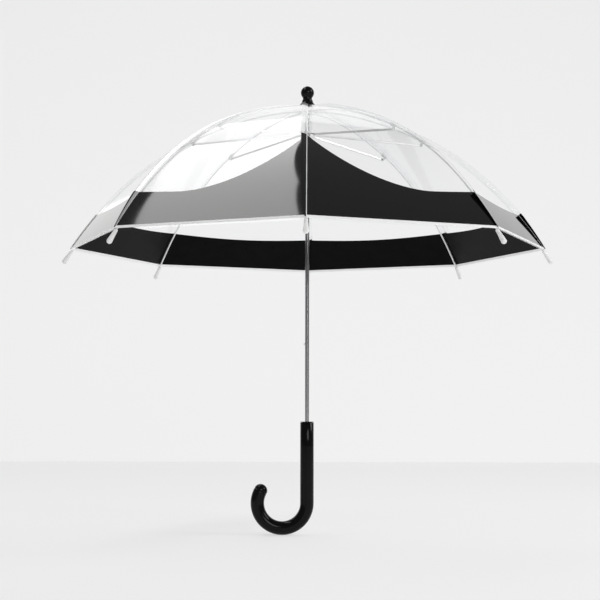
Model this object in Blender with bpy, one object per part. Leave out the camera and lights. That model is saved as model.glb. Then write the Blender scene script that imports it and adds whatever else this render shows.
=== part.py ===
"""Clear bubble umbrella with eight ribs, built open. The shaft is the Z axis, and the floor is z = 0.

Lengths below are in millimetres and become metres when a mesh is made. Rib 1 points to -Y, and the ribs are
numbered anticlockwise seen from above. Each rib is modelled in a plane of its own: u runs out from the shaft,
t runs sideways, z runs up, and a rib's empties turn that plane to the rib's direction.
"""

import math

import bmesh
import bpy
from mathutils import Matrix, Vector

MM = 0.001
FIT_GAP = 0.35

# ribs and the fold
RIB_COUNT = 8
RIB_STEP = math.tau / RIB_COUNT
FIRST_RIB = -math.pi / 2
RIB_PIVOT = (7.0, 640.0)
JOINT_PIVOT = (173.7, 589.0)
RUNNER_PIVOT = (9.5, 605.0)

# canopy film, as its outside line over a rib: crown, bend over the joint, corner at the rim
FILM_CROWN = (6.0, 648.6)
FILM_BEND = (182.0, 594.5)
FILM_CORNER = (360.0, 429.0)
CROWN_SLOPE = math.radians(7.2)
BEND_SLOPE = math.radians(27)
CORNER_SLOPE = math.radians(56)
FILM_THICKNESS = 0.27
SEAM_INSET = 0.2
RIB_TO_FILM = 3.3
FILM_STEPS = 7

# rods, clips and tips
ROD_RADIUS = 1.25
EYE_RADIUS = 2.2
EYE_THICKNESS = 1.2
EYE_HOLE = 0.8
WIRE_RADIUS = 0.45
SLOT_WIDTH = 1.9
SLEEVE_BORE = 1.62
SLEEVE_RADIUS = 2.3
SLEEVE_LENGTH = 9.0
STUD_RADIUS = 0.9
STUD_REACH = 4.2
STUD_HEAD = (1.6, 0.7)
STRETCHER_OFFSET = 3.25
STRETCHER_HEIGHT = 3.2
HOOK_RADIUS = 2.5
HOOK_BORE = 1.25
HOOK_MOUTH = 2.2
TIP_LENGTH = 24.0
TIP_RADIUS = 3.9
TIP_NECK = 2.5
ROD_IN_TIP = 14.0

# shaft, runner, notch and catches
SHAFT_RADIUS = 3.1
SHAFT_BORE = 2.5
SHAFT_BOTTOM = 110.0
SHAFT_TOP = 655.0
SLIDING_BORE = 3.5
ROUND_SIDES = 16
NOTCH_RADIUS = 9.0
NOTCH_BOTTOM = 636.8
NOTCH_TOP = 645.2
GROOVE_HALF = 0.8
RUNNER_RADIUS = 6.2
RUNNER_BOTTOM = 556.0
RUNNER_FOOT = 8.5
CROWN_RADIUS = 12.5
CROWN_HALF = 4.0
WINDOW = (584.4, 591.4)
CATCH_HEIGHT = 1.8
CATCH_RAMP = 4.0
CATCH_TONGUE = 8.0
CATCH_REACH = 5.2
CATCH_HALF_WIDTH = 0.75
TOP_CATCH_Z = 588.9
BOTTOM_CATCH_Z = 285.5

# handle and finial
GRIP_RADIUS = 10.15
GRIP_BORE = 7.5
GRIP_TOP = 167.4
GRIP_FLANGE = 1.0
CROOK_BEND = 37.1
CROOK_SWEEP = math.radians(209)
CROOK_STEPS = (6, 8)
SOCKET_DEPTH = 57.0
CAP_PLUG = 4.0
BALL_RADIUS = 10.15
BALL_CENTRE = 669.9
FINIAL_TOP = 680.0
FINIAL_BOTTOM = 650.3
FINIAL_BORE_TOP = 662.0
FINIAL_FLAT = 2.2
WASHER = (11.5, 649.1, 649.9)


# ---------------------------------------------------------------- scene and materials

def clear_scene():
    for old in list(bpy.data.objects):
        bpy.data.objects.remove(old, do_unlink=True)


def make_material(name, colour, roughness, metallic=0.0):
    material = bpy.data.materials.new(name)
    material.use_nodes = True
    shader = material.node_tree.nodes["Principled BSDF"]
    shader.inputs["Base Color"].default_value = (*colour, 1.0)
    shader.inputs["Roughness"].default_value = roughness
    shader.inputs["Metallic"].default_value = metallic
    material.diffuse_color = (*colour, 1.0)
    return material


def make_empty(name, place, turn=0.0, parent=None):
    """An empty on a joint's axis. place is in millimetres in the parent's frame."""
    empty = bpy.data.objects.new(name, None)
    bpy.context.scene.collection.objects.link(empty)
    empty.parent = parent
    empty.location = Vector(place) * MM
    empty.rotation_euler = (0.0, 0.0, turn)
    return empty


def make_part(name, mesh, material, parent=None):
    part = bpy.data.objects.new(name, mesh)
    bpy.context.scene.collection.objects.link(part)
    part.parent = parent
    if not mesh.materials:
        mesh.materials.append(material)
    return part


# ---------------------------------------------------------------- mesh building

def mesh_from(name, points, faces, smooth=True):
    """A closed mesh from points in millimetres, with its faces turned outwards."""
    mesh = bpy.data.meshes.new(name)
    mesh.from_pydata([Vector(p) * MM for p in points], [], faces)
    bm = bmesh.new()
    bm.from_mesh(mesh)
    bmesh.ops.recalc_face_normals(bm, faces=bm.faces)
    bm.to_mesh(mesh)
    bm.free()
    if smooth:
        mesh.shade_smooth()
        mesh.set_sharp_from_angle(angle=math.radians(40))
    return mesh


def loft(name, rings, closed=False):
    """A skin over rings with the same number of points. Its ends are capped, or joined when closed."""
    count = len(rings[0])
    points = [p for ring in rings for p in ring]
    spans = len(rings) if closed else len(rings) - 1
    faces = []
    for i in range(spans):
        here = i * count
        there = (i + 1) % len(rings) * count
        for j in range(count):
            k = (j + 1) % count
            faces.append((here + j, here + k, there + k, there + j))
    if not closed:
        last = (len(rings) - 1) * count
        faces.append(tuple(reversed(range(count))))
        faces.append(tuple(range(last, last + count)))
    return mesh_from(name, points, faces)


def revolve(name, profile, sides=ROUND_SIDES, hollow=True):
    """Turns (radius, z) points about Z. A hollow profile is a loop; a solid one runs axis to axis."""

    def ring(radius, z):
        return [(radius * math.cos(a), radius * math.sin(a), z) for a in angles(sides)]

    return loft(name, [ring(max(radius, 0.05), z) for radius, z in profile], closed=hollow)


def angles(sides, first=0.5):
    """The directions of a ring's points. A first of 0.5 puts a flat, and not a point, on each axis."""
    return [math.tau * (i + first) / sides for i in range(sides)]


def octagon(centre, across, up, half_across, half_up):
    """Eight points round centre, with flats at half_across and half_up."""
    corner = 1 / math.cos(math.pi / 8)
    ring = []
    for a in angles(8):
        step = across * (half_across * corner * math.cos(a)) + up * (half_up * corner * math.sin(a))
        ring.append(centre + step)
    return ring


def extrude(name, outline, low, high):
    """A plate: an outline in the u-z plane, made solid from t = low to t = high."""
    return loft(name, [[(u, t, z) for u, z in outline] for t in (low, high)])


def cylinder(name, centre, radius, low, high, sides=12):
    """A round bar along t round the (u, z) point centre."""
    outline = [(centre[0] + radius * math.cos(a), centre[1] + radius * math.sin(a)) for a in angles(sides)]
    return extrude(name, outline, low, high)


def box_mesh(name, low, high):
    (x0, y0, z0), (x1, y1, z1) = low, high
    outline = [(x0, z0), (x1, z0), (x1, z1), (x0, z1)]
    return extrude(name, outline, y0, y1)


def combine(base, others, operation, turns=(0.0,)):
    """Boolean of a mesh with each other mesh, repeated at each turn about Z. Returns the new mesh."""
    body = bpy.data.objects.new("boolean_body", base)
    bpy.context.scene.collection.objects.link(body)
    cutters = []
    for other in others:
        for turn in turns:
            cutter = bpy.data.objects.new("boolean_cutter", other)
            bpy.context.scene.collection.objects.link(cutter)
            cutter.rotation_euler = (0.0, 0.0, turn)
            cutter.hide_render = True
            cutter.display_type = "WIRE"
            step = body.modifiers.new("boolean", "BOOLEAN")
            step.operation = operation
            step.object = cutter
            cutters.append(cutter)
    bpy.context.view_layer.update()
    graph = bpy.context.evaluated_depsgraph_get()
    result = bpy.data.meshes.new_from_object(body.evaluated_get(graph))
    result.name = base.name
    for used in [body, *cutters]:
        bpy.data.objects.remove(used, do_unlink=True)
    return result


# ---------------------------------------------------------------- curves in the rib's plane

def bezier_control(start, start_slope, end, end_slope):
    """Where a line falling from start meets a line rising back from end."""
    run = end[0] - start[0]
    drop = start[1] - end[1]
    spread = math.sin(end_slope - start_slope)
    length = (run * math.sin(end_slope) - drop * math.cos(end_slope)) / spread
    return (start[0] + length * math.cos(start_slope), start[1] - length * math.sin(start_slope))


def curve_points(start, control, end, steps):
    points = []
    for i in range(steps + 1):
        f = i / steps
        a, b, c = (1 - f) ** 2, 2 * f * (1 - f), f * f
        points.append(tuple(a * start[n] + b * control[n] + c * end[n] for n in (0, 1)))
    return points


def slope_at(points, i):
    before = points[max(i - 1, 0)]
    after = points[min(i + 1, len(points) - 1)]
    return math.atan2(before[1] - after[1], after[0] - before[0])


def moved_inward(points, distance):
    """The curve moved towards the shaft's side, at right angles to itself."""
    moved = []
    for i, (u, z) in enumerate(points):
        slope = slope_at(points, i)
        moved.append((u - distance * math.sin(slope), z - distance * math.cos(slope)))
    return moved


def outer_film(steps):
    control = bezier_control(FILM_BEND, BEND_SLOPE, FILM_CORNER, CORNER_SLOPE)
    return curve_points(FILM_BEND, control, FILM_CORNER, steps)


def film_line():
    """The film's outside line over a rib, from the crown to the corner."""
    control = bezier_control(FILM_CROWN, CROWN_SLOPE, FILM_BEND, BEND_SLOPE)
    inner = curve_points(FILM_CROWN, control, FILM_BEND, FILM_STEPS)
    return inner + outer_film(FILM_STEPS)[1:]


def flex_point():
    """The rib's bending point: on the rod's centreline, just outside the clip."""
    r = FILM_BEND[0] - RIB_TO_FILM * math.sin(BEND_SLOPE)
    return (r, FILM_BEND[1] - RIB_TO_FILM * math.cos(BEND_SLOPE))


def inner_rod_line(steps):
    """The centreline from the rib's eye to the bending point. It leaves the eye level."""
    end = flex_point()
    return curve_points(RIB_PIVOT, bezier_control(RIB_PIVOT, 0.0, end, BEND_SLOPE), end, steps)


def rib_rings(line, halves):
    """Octagon sections along a line in the rib's plane, each with its half width and half height."""
    rings = []
    for i, ((u, z), (wide, high)) in enumerate(zip(line, halves)):
        slope = slope_at(line, i)
        up = Vector((math.sin(slope), 0.0, math.cos(slope)))
        rings.append(octagon(Vector((u, 0.0, z)), Vector((0.0, 1.0, 0.0)), up, wide, high))
    return rings


def relative(mesh, origin):
    """Moves a mesh made in the rib's plane so that its origin is the (u, z) point given."""
    mesh.transform(Matrix.Translation(Vector((-origin[0], 0.0, -origin[1])) * MM))
    return mesh


# ---------------------------------------------------------------- ribs, clips, stretchers, tips

def along(line, distance):
    """The point a distance along the line's first leg, which may be before its start."""
    (u0, z0), (u1, z1) = line[0], line[1]
    length = math.hypot(u1 - u0, z1 - z0)
    return (u0 + (u1 - u0) * distance / length, z0 + (z1 - z0) * distance / length)


def rib_inner_mesh():
    """Rod from the notch to the clip, with a flattened eye for the notch wire."""
    line = inner_rod_line(12)
    end = flex_point()
    back = ROD_RADIUS + FIT_GAP
    line[-1] = (end[0] - back * math.cos(BEND_SLOPE), end[1] + back * math.sin(BEND_SLOPE))
    half = EYE_THICKNESS / 2
    eye_steps = (-2.15, -1.5, 0.0, 1.5, 3.0, 6.0, 8.0)
    eye_line = [along(line, s) for s in eye_steps]
    eye_high = [max(math.sqrt(max(EYE_RADIUS**2 - s * s, 0.0)), ROD_RADIUS * 0.6) for s in eye_steps[:4]]
    halves = [(half, h) for h in eye_high] + [(half, 1.5), (half, ROD_RADIUS)]
    halves += [(ROD_RADIUS, ROD_RADIUS)] * len(line[1:])
    rod = loft("rib_inner", rib_rings(eye_line[:-1] + line[1:], halves))
    hole = cylinder("eye_hole", RIB_PIVOT, EYE_HOLE, -2.0, 2.0, sides=8)
    return relative(combine(rod, [hole], "DIFFERENCE"), RIB_PIVOT)


def rib_clip_mesh():
    """Moulded clip: a sleeve round the rod, an ear under it, and the headed stud for the stretcher."""
    end = Vector((flex_point()[0], 0.0, flex_point()[1]))
    along_rod = Vector((math.cos(BEND_SLOPE), 0.0, -math.sin(BEND_SLOPE)))
    up = Vector((math.sin(BEND_SLOPE), 0.0, math.cos(BEND_SLOPE)))
    across = Vector((0.0, 1.0, 0.0))
    near = end - along_rod * (ROD_RADIUS + 2 * FIT_GAP)
    far = near - along_rod * SLEEVE_LENGTH
    ends = ((far, SLEEVE_BORE), (far, SLEEVE_RADIUS), (near, SLEEVE_RADIUS), (near, SLEEVE_BORE))
    sleeve = loft("rib_clip", [octagon(c, across, up, r, r) for c, r in ends], closed=True)
    stud_centre = Vector((JOINT_PIVOT[0], 0.0, JOINT_PIVOT[1]))
    top = stud_centre + up * ((end - stud_centre).dot(up) - (SLEEVE_BORE + SLEEVE_RADIUS) / 2)
    half = 1.7
    corners = [top - along_rod * half, top + along_rod * half, stud_centre + along_rod * half]
    corners += [stud_centre + (along_rod * math.cos(a) - up * math.sin(a)) * half for a in (0.8, 1.57, 2.34)]
    corners += [stud_centre - along_rod * half]
    thick = EYE_THICKNESS / 2
    ear = extrude("ear", [(c.x, c.z) for c in corners], -thick, thick)
    stud = cylinder("stud", JOINT_PIVOT, STUD_RADIUS, -thick * 0.5, STUD_REACH + 0.2)
    head = cylinder("head", JOINT_PIVOT, STUD_HEAD[0], STUD_REACH, STUD_REACH + STUD_HEAD[1])
    return relative(combine(sleeve, [ear, stud, head], "UNION"), RIB_PIVOT)


def tip_line():
    """The outer rod's centreline, run on straight past the film's corner into the tip."""
    line = moved_inward(outer_film(10), RIB_TO_FILM)
    line[0] = flex_point()
    fall = Vector((math.cos(CORNER_SLOPE), -math.sin(CORNER_SLOPE)))
    corner = Vector(line[-1])
    line.append(tuple(corner + fall * ROD_IN_TIP))
    return line, corner, fall


def rib_outer_mesh():
    """Rod from the clip to the tip. Its inner end is a half ball on the bending point."""
    line, _, _ = tip_line()
    ball = [(-ROD_RADIUS * math.cos(a), ROD_RADIUS * math.sin(a)) for a in (0.25, 0.65, 1.1)]
    ball_line = [along(line, s) for s, _ in ball]
    halves = [(r, r) for _, r in ball] + [(ROD_RADIUS, ROD_RADIUS)] * len(line)
    return relative(loft("rib_outer", rib_rings(ball_line + line, halves)), flex_point())


def rib_tip_mesh():
    """Rounded white cap on the rod's end, with a blind socket."""
    _, corner, fall = tip_line()
    start = 0.6
    round_start = TIP_LENGTH - TIP_RADIUS
    dome = [(TIP_RADIUS * math.cos(a), round_start + TIP_RADIUS * math.sin(a)) for a in (0.0, 0.4, 0.8, 1.2)]
    profile = [(TIP_NECK, start), (2.8, 4.0), (3.2, 10.0), *dome, (0.5, TIP_LENGTH)]

    def ring(radius, s):
        centre = Vector((corner.x + fall.x * s, 0.0, corner.y + fall.y * s))
        up = Vector((-fall.y, 0.0, fall.x))
        return octagon(centre, Vector((0.0, 1.0, 0.0)), up, radius, radius)

    cap = loft("rib_tip", [ring(r, s) for r, s in profile])
    bore = loft("tip_bore", [ring(SLEEVE_BORE, start - 1.0), ring(SLEEVE_BORE, ROD_IN_TIP + FIT_GAP)])
    return relative(combine(cap, [bore], "DIFFERENCE"), flex_point())


def arc(centre, radius, start, end, steps):
    sweep = [math.radians(start + (end - start) * i / steps) for i in range(steps + 1)]
    return [(centre[0] + radius * math.cos(a), centre[1] + radius * math.sin(a)) for a in sweep]


def stretcher_mesh():
    """Flat bar from the runner wire to the clip stud. Its outer hook is open below."""
    run = JOINT_PIVOT[0] - RUNNER_PIVOT[0]
    drop = RUNNER_PIVOT[1] - JOINT_PIVOT[1]
    length = math.hypot(run, drop)
    half = STRETCHER_HEIGHT / 2
    eye = 2.0
    meet_eye = math.degrees(math.asin(half / eye))
    meet_hook = math.degrees(math.asin(half / HOOK_RADIUS))
    lip = math.degrees(math.asin(HOOK_MOUTH / 2 / HOOK_RADIUS))
    mouth = math.degrees(math.asin(HOOK_MOUTH / 2 / HOOK_BORE))
    hook = (length, 0.0)
    outline = arc(hook, HOOK_RADIUS, 180 + meet_hook, 270 - lip, 1)
    outline += arc(hook, HOOK_BORE, 270 - mouth, mouth - 90, 8)
    outline += arc(hook, HOOK_RADIUS, 270 + lip, 540 - meet_hook, 8)
    outline += arc((0.0, 0.0), eye, meet_eye, 360 - meet_eye, 6)
    half = EYE_THICKNESS / 2
    bar = extrude("stretcher", outline, STRETCHER_OFFSET - half, STRETCHER_OFFSET + half)
    hole = cylinder("eye_hole", (0.0, 0.0), EYE_HOLE, 0.0, 6.0, sides=8)
    bar = combine(bar, [hole], "DIFFERENCE")
    bar.transform(Matrix.Rotation(math.atan2(drop, run), 4, "Y"))
    return bar


def gore_mesh():
    """One film panel between a rib and the next, flat from side to side and curved from crown to rim."""
    outside = film_line()
    inside = moved_inward(outside, FILM_THICKNESS)
    rings = []
    for over, under in zip(outside, inside):
        corners = []
        for (u, z), reverse in ((over, False), (under, True)):
            start = Vector((u, 0.0, z))
            finish = Vector((u * math.cos(RIB_STEP), u * math.sin(RIB_STEP), z))
            inset = (finish - start).normalized() * SEAM_INSET
            pair = [start + inset, finish - inset]
            corners += reversed(pair) if reverse else pair
        rings.append(corners)
    return relative(loft("canopy_gore", rings), flex_point())


# ---------------------------------------------------------------- shaft, notch, runner, catches

def catch_outline(sign):
    """A sprung tongue inside the shaft, with a bump through the slot. sign +1 has its flat side up."""
    inside, wall = -0.2, -2.0
    shape = [(inside, -CATCH_TONGUE), (inside, 3.0), (wall, 3.0), (wall, CATCH_HEIGHT)]
    shape += [(-CATCH_REACH, CATCH_HEIGHT), (-CATCH_REACH, 0.6), (wall, -CATCH_RAMP), (wall, -CATCH_TONGUE)]
    return [(x, sign * z) for x, z in shape]


def shaft_mesh():
    """The tube, with a slot on its -X side for each catch's bump."""
    profile = [(SHAFT_BORE, SHAFT_BOTTOM), (SHAFT_RADIUS, SHAFT_BOTTOM)]
    profile += [(SHAFT_RADIUS, SHAFT_TOP), (SHAFT_BORE, SHAFT_TOP)]
    tube = revolve("shaft_tube", profile)
    slots = []
    for z, sign in ((TOP_CATCH_Z, 1), (BOTTOM_CATCH_Z, -1)):
        ends = sorted((z + sign * (CATCH_HEIGHT + 0.5), z - sign * (CATCH_RAMP + 0.5)))
        half = CATCH_HALF_WIDTH + FIT_GAP
        slots.append(box_mesh("catch_slot", (-5.0, -half, ends[0]), (-1.0, half, ends[1])))
    return combine(tube, slots, "DIFFERENCE")


def rib_turns():
    return [FIRST_RIB + RIB_STEP * k for k in range(RIB_COUNT)]


def top_notch_mesh():
    """Slotted crown that the eight rib eyes turn in, with a groove for their wire."""
    z = RIB_PIVOT[1]
    groove = RIB_PIVOT[0] - WIRE_RADIUS - FIT_GAP
    profile = [(SLIDING_BORE, NOTCH_BOTTOM), (NOTCH_RADIUS, NOTCH_BOTTOM), (NOTCH_RADIUS, z - GROOVE_HALF)]
    profile += [(groove, z - GROOVE_HALF), (groove, z + GROOVE_HALF), (NOTCH_RADIUS, z + GROOVE_HALF)]
    profile += [(NOTCH_RADIUS, NOTCH_TOP), (SLIDING_BORE, NOTCH_TOP)]
    ring = revolve("top_notch", profile)
    half = SLOT_WIDTH / 2
    slot = box_mesh("rib_slot", (4.5, -half, NOTCH_BOTTOM - 1), (NOTCH_RADIUS + 1, half, NOTCH_TOP + 1))
    return combine(ring, [slot], "DIFFERENCE", rib_turns())


def wire_mesh(name, radius, z, sides):
    """A ring of wire through the eyes. Eight sides make an octagon whose flats face the ribs."""
    rings = []
    for a in angles(sides):
        out = Vector((math.cos(a), math.sin(a), 0.0))
        centre = out * radius + Vector((0.0, 0.0, z))
        rings.append(octagon(centre, out, Vector((0.0, 0.0, 1.0)), WIRE_RADIUS, WIRE_RADIUS))
    return loft(name, rings, closed=True)


def runner_mesh():
    """The slider: a flared foot, a tube with the catch's window, and a slotted crown for the stretchers."""
    z = RUNNER_PIVOT[1]
    groove = RUNNER_PIVOT[0] - WIRE_RADIUS - FIT_GAP
    low, high = z - CROWN_HALF, z + CROWN_HALF
    profile = [(SLIDING_BORE, RUNNER_BOTTOM), (RUNNER_FOOT, RUNNER_BOTTOM), (RUNNER_FOOT, RUNNER_BOTTOM + 2)]
    profile += [(RUNNER_RADIUS, RUNNER_BOTTOM + 6), (RUNNER_RADIUS, low - 5), (CROWN_RADIUS - 1.5, low - 1.5)]
    profile += [(CROWN_RADIUS, low), (CROWN_RADIUS, z - GROOVE_HALF), (groove, z - GROOVE_HALF)]
    profile += [(groove, z + GROOVE_HALF), (CROWN_RADIUS, z + GROOVE_HALF)]
    profile += [(CROWN_RADIUS, high), (SLIDING_BORE, high)]
    body = revolve("runner", profile)
    half = SLOT_WIDTH / 2
    slot_low = (7.0, STRETCHER_OFFSET - half, low - 0.4)
    slot_high = (CROWN_RADIUS + 2, STRETCHER_OFFSET + half, high + 2)
    slot = box_mesh("stretcher_slot", slot_low, slot_high)
    body = combine(body, [slot], "DIFFERENCE", rib_turns())
    window = box_mesh("window", (-RUNNER_RADIUS - 2, -1.5, WINDOW[0]), (-2.0, 1.5, WINDOW[1]))
    body = combine(body, [window], "DIFFERENCE")
    return relative(body, (0.0, z))


# ---------------------------------------------------------------- handle and finial

def crook_mesh():
    """Hollow crook: a straight grip and a bend that turns in past the half circle."""
    stations = [(Vector((0.0, 0.0, GRIP_TOP)), 0.0)]
    centre = Vector((-CROOK_BEND, 0.0, GRIP_RADIUS + CROOK_BEND))
    lowest = math.pi / 2
    to_lowest, past_lowest = CROOK_STEPS
    turns = [lowest * i / to_lowest for i in range(to_lowest)]
    turns += [lowest + (CROOK_SWEEP - lowest) * i / past_lowest for i in range(past_lowest + 1)]
    for turn in turns:
        stations.append((centre + CROOK_BEND * Vector((math.cos(turn), 0.0, -math.sin(turn))), turn))
    across = Vector((0.0, 1.0, 0.0))

    def ring(place, turn, radius):
        out = Vector((math.cos(turn), 0.0, -math.sin(turn)))
        sweep = angles(ROUND_SIDES, first=0.0)
        return [place + radius * (out * math.cos(a) + across * math.sin(a)) for a in sweep]

    outside = [ring(p, a, GRIP_RADIUS) for p, a in stations]
    inside = [ring(p, a, GRIP_BORE) for p, a in reversed(stations)]
    return loft("handle_crook", outside + inside, closed=True)


def bush_mesh():
    """Sleeve between the shaft and the grip: a blind socket with a flange over the grip's end."""
    flange = GRIP_TOP + FIT_GAP
    top = flange + GRIP_FLANGE
    outer = GRIP_BORE - FIT_GAP
    floor = SHAFT_BOTTOM - FIT_GAP
    profile = [(0.0, floor - 4), (outer, floor - 4), (outer, flange), (GRIP_RADIUS, flange)]
    profile += [(GRIP_RADIUS, top - 0.4), (GRIP_RADIUS - 0.4, top)]
    profile += [(SLIDING_BORE, top), (SLIDING_BORE, floor), (0.0, floor)]
    return revolve("handle_bush", profile, hollow=False)


def end_cap_mesh():
    """Round plug that closes the crook's end."""
    shoulder = FIT_GAP
    turns = (0.0, 0.3, 0.6, 0.9, 1.2, 1.45)
    dome = [(GRIP_RADIUS * math.cos(a), shoulder + GRIP_RADIUS * math.sin(a)) for a in turns]
    profile = [(0.0, -CAP_PLUG), (GRIP_BORE - 0.7, -CAP_PLUG), (GRIP_BORE - 0.7, shoulder), *dome]
    profile += [(0.0, shoulder + GRIP_RADIUS)]
    cap = revolve("handle_end_cap", profile, hollow=False)
    turn = CROOK_SWEEP
    centre = Vector((-CROOK_BEND, 0.0, GRIP_RADIUS + CROOK_BEND))
    place = centre + CROOK_BEND * Vector((math.cos(turn), 0.0, -math.sin(turn)))
    cap.transform(Matrix.Translation(place * MM) @ Matrix.Rotation(math.pi + turn, 4, "Y"))
    return cap


def finial_mesh():
    """Ball finial with a neck and a flared skirt, bored from below for the shaft."""
    ball = []
    for degrees in (-46, -30, -15, 0, 15, 30, 45, 60, 70):
        a = math.radians(degrees)
        ball.append((BALL_RADIUS * math.cos(a), BALL_CENTRE + BALL_RADIUS * math.sin(a)))
    skirt = [(11.6, 0.0), (11.4, 0.9), (9.6, 3.2), (8.3, 6.0), (8.1, 7.6)]
    skirt += [(7.3, 8.0), (7.0, 10.0), (7.0, 11.6)]
    profile = [(0.0, FINIAL_BORE_TOP), (SLIDING_BORE, FINIAL_BORE_TOP), (SLIDING_BORE, FINIAL_BOTTOM)]
    profile += [(r, FINIAL_BOTTOM + up) for r, up in skirt]
    profile += ball + [(FINIAL_FLAT, FINIAL_TOP), (0.0, FINIAL_TOP)]
    return revolve("finial", profile, hollow=False)


def washer_mesh():
    radius, low, high = WASHER
    return revolve("crown_washer", [(SLIDING_BORE, low), (radius, low), (radius, high), (SLIDING_BORE, high)])


# ---------------------------------------------------------------- assembly

def build():
    clear_scene()
    steel = make_material("polished_steel", (0.62, 0.62, 0.63), 0.25, 1.0)
    wire = make_material("wire", (0.55, 0.55, 0.56), 0.35, 1.0)
    black = make_material("black_gloss_plastic", (0.012, 0.012, 0.013), 0.2)
    white = make_material("white_plastic", (0.82, 0.82, 0.81), 0.4)
    clear = make_material("clear_film", (0.9, 0.93, 0.95), 0.1)
    fibre = make_material("white_fibreglass", (0.75, 0.76, 0.76), 0.3)

    make_part("shaft_tube", shaft_mesh(), steel)
    make_part("handle_crook", crook_mesh(), black)
    make_part("handle_bush", bush_mesh(), black)
    make_part("handle_end_cap", end_cap_mesh(), black)
    make_part("finial", finial_mesh(), black)
    make_part("crown_washer", washer_mesh(), clear)
    make_part("top_notch", top_notch_mesh(), white)
    make_part("notch_wire", wire_mesh("notch_wire", RIB_PIVOT[0], RIB_PIVOT[1], 24), wire)

    slide = make_empty("runner_axis", (0.0, 0.0, RUNNER_PIVOT[1]))
    make_part("runner", runner_mesh(), white, slide)
    octagon_radius = RUNNER_PIVOT[0] / math.cos(math.pi / 8)
    make_part("runner_wire", wire_mesh("runner_wire", octagon_radius, 0.0, 8), wire, slide)
    for name, z, sign in (("top_catch", TOP_CATCH_Z, 1), ("bottom_catch", BOTTOM_CATCH_Z, -1)):
        mesh = extrude(name, catch_outline(sign), -CATCH_HALF_WIDTH, CATCH_HALF_WIDTH)
        make_part(name, mesh, steel, make_empty(name + "_axis", (0.0, 0.0, z)))

    meshes = {
        "rib_inner": (rib_inner_mesh(), fibre), "rib_clip": (rib_clip_mesh(), white),
        "rib_outer": (rib_outer_mesh(), fibre), "rib_tip": (rib_tip_mesh(), white),
        "stretcher": (stretcher_mesh(), steel), "canopy_gore": (gore_mesh(), clear),
    }
    flex = flex_point()
    for number, turn in enumerate(rib_turns(), start=1):
        plane = make_empty(f"rib_plane_{number}", (0.0, 0.0, 0.0), turn)
        places = {"rib": RIB_PIVOT, "flex": flex, "stretcher": RUNNER_PIVOT}
        hinges = {}
        for hinge, (r, z) in places.items():
            hinges[hinge] = make_empty(f"{hinge}_axis_{number}", (r, 0.0, z), parent=plane)
        owners = {
            "rib_inner": "rib", "rib_clip": "rib", "rib_outer": "flex",
            "rib_tip": "flex", "stretcher": "stretcher", "canopy_gore": "flex",
        }
        for piece, (mesh, material) in meshes.items():
            make_part(f"{piece}_{number}", mesh, material, hinges[owners[piece]])


build()
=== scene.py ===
"""Looks of the clear bubble umbrella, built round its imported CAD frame. Lengths are in metres.

Rib 1 points to -Y, the front. Gore k is the film between rib k and the next one. Each gore is made in
quarters, because it folds with its ribs: an upper and a lower part, split above the rib's bending point, on
each side of its middle line.
"""

import math

import bmesh
import bpy
import numpy as np
from mathutils import Matrix, Vector


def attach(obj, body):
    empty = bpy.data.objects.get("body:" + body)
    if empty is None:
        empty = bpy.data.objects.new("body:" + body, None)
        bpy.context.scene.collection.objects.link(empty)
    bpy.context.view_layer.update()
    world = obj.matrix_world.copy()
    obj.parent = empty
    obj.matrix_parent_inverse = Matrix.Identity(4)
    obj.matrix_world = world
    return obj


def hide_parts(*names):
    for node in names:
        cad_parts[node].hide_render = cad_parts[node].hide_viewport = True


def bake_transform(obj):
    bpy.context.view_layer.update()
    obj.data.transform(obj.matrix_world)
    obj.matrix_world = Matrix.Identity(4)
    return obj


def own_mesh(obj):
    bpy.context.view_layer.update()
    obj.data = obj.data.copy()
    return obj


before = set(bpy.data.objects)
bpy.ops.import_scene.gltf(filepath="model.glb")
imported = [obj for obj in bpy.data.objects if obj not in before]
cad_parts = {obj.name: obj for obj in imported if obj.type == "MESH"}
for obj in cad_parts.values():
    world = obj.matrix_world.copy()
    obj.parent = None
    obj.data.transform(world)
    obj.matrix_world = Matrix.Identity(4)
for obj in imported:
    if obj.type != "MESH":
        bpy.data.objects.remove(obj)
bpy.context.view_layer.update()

RIBS = 8
STEP = math.tau / RIBS
UP = Vector((0.0, 0.0, 1.0))

# the film's line over a rib, as in the CAD: crown, bend over the clip, corner at the rim
FILM_CROWN = (0.0060, 0.6486)
FILM_BEND = (0.1820, 0.5945)
FILM_CORNER = (0.3600, 0.4290)
CROWN_SLOPE = math.radians(7.2)
BEND_SLOPE = math.radians(27)
CORNER_SLOPE = math.radians(56)
SEAM_GAP = 0.0002
LIP = 0.0042

# the rib's rod: its wire's place in the notch, its depth under the film, and how far it runs into its tip
RIB_PIVOT = (0.007, 0.640)
ROD_UNDER_FILM = 0.0033
ROD_RADIUS = 0.00125
ROD_IN_TIP = 0.0138

# the printed band, measured along the film from the rim
BAND_HEIGHT = 0.0655
BAND_SAG = 0.006
PEAK_HEIGHT = 0.109
PEAK_REACH = 0.74
PEAK_POWER = 1.8
PRINT_DEPTH = 0.00016

# the binding along the rim: above and below the film's edge, and half its thickness
HEM_ABOVE = 0.0034
HEM_BELOW = 0.0007
HEM_HALF = 0.00042

# the strip of joined edges that stands along each seam
FIN_WIDTH = 0.0078
FIN_THICK = 0.0003
FIN_SWELL = 0.0004
FIN_LEAN = math.radians(20)

# the camera: focal length and place, and its angles in degrees
LENS = 79.86
CAMERA_PLACE = (0.0087, -2.0084, 0.2013)
CAMERA_RAISED = 4.29
CAMERA_ROLL = -0.1
CAMERA_TURN = 0.55

# places and brightness of the stage and lights
WALL_Y = 2.34
FLOOR_GLOW = 0.52
WALL_GLOW = 0.66
ROOM_GLOW = 0.22
BOX_GLOW = 4.8
BOX_HEIGHT = 2.0


# ---------------------------------------------------------------- camera, stage and light

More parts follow.
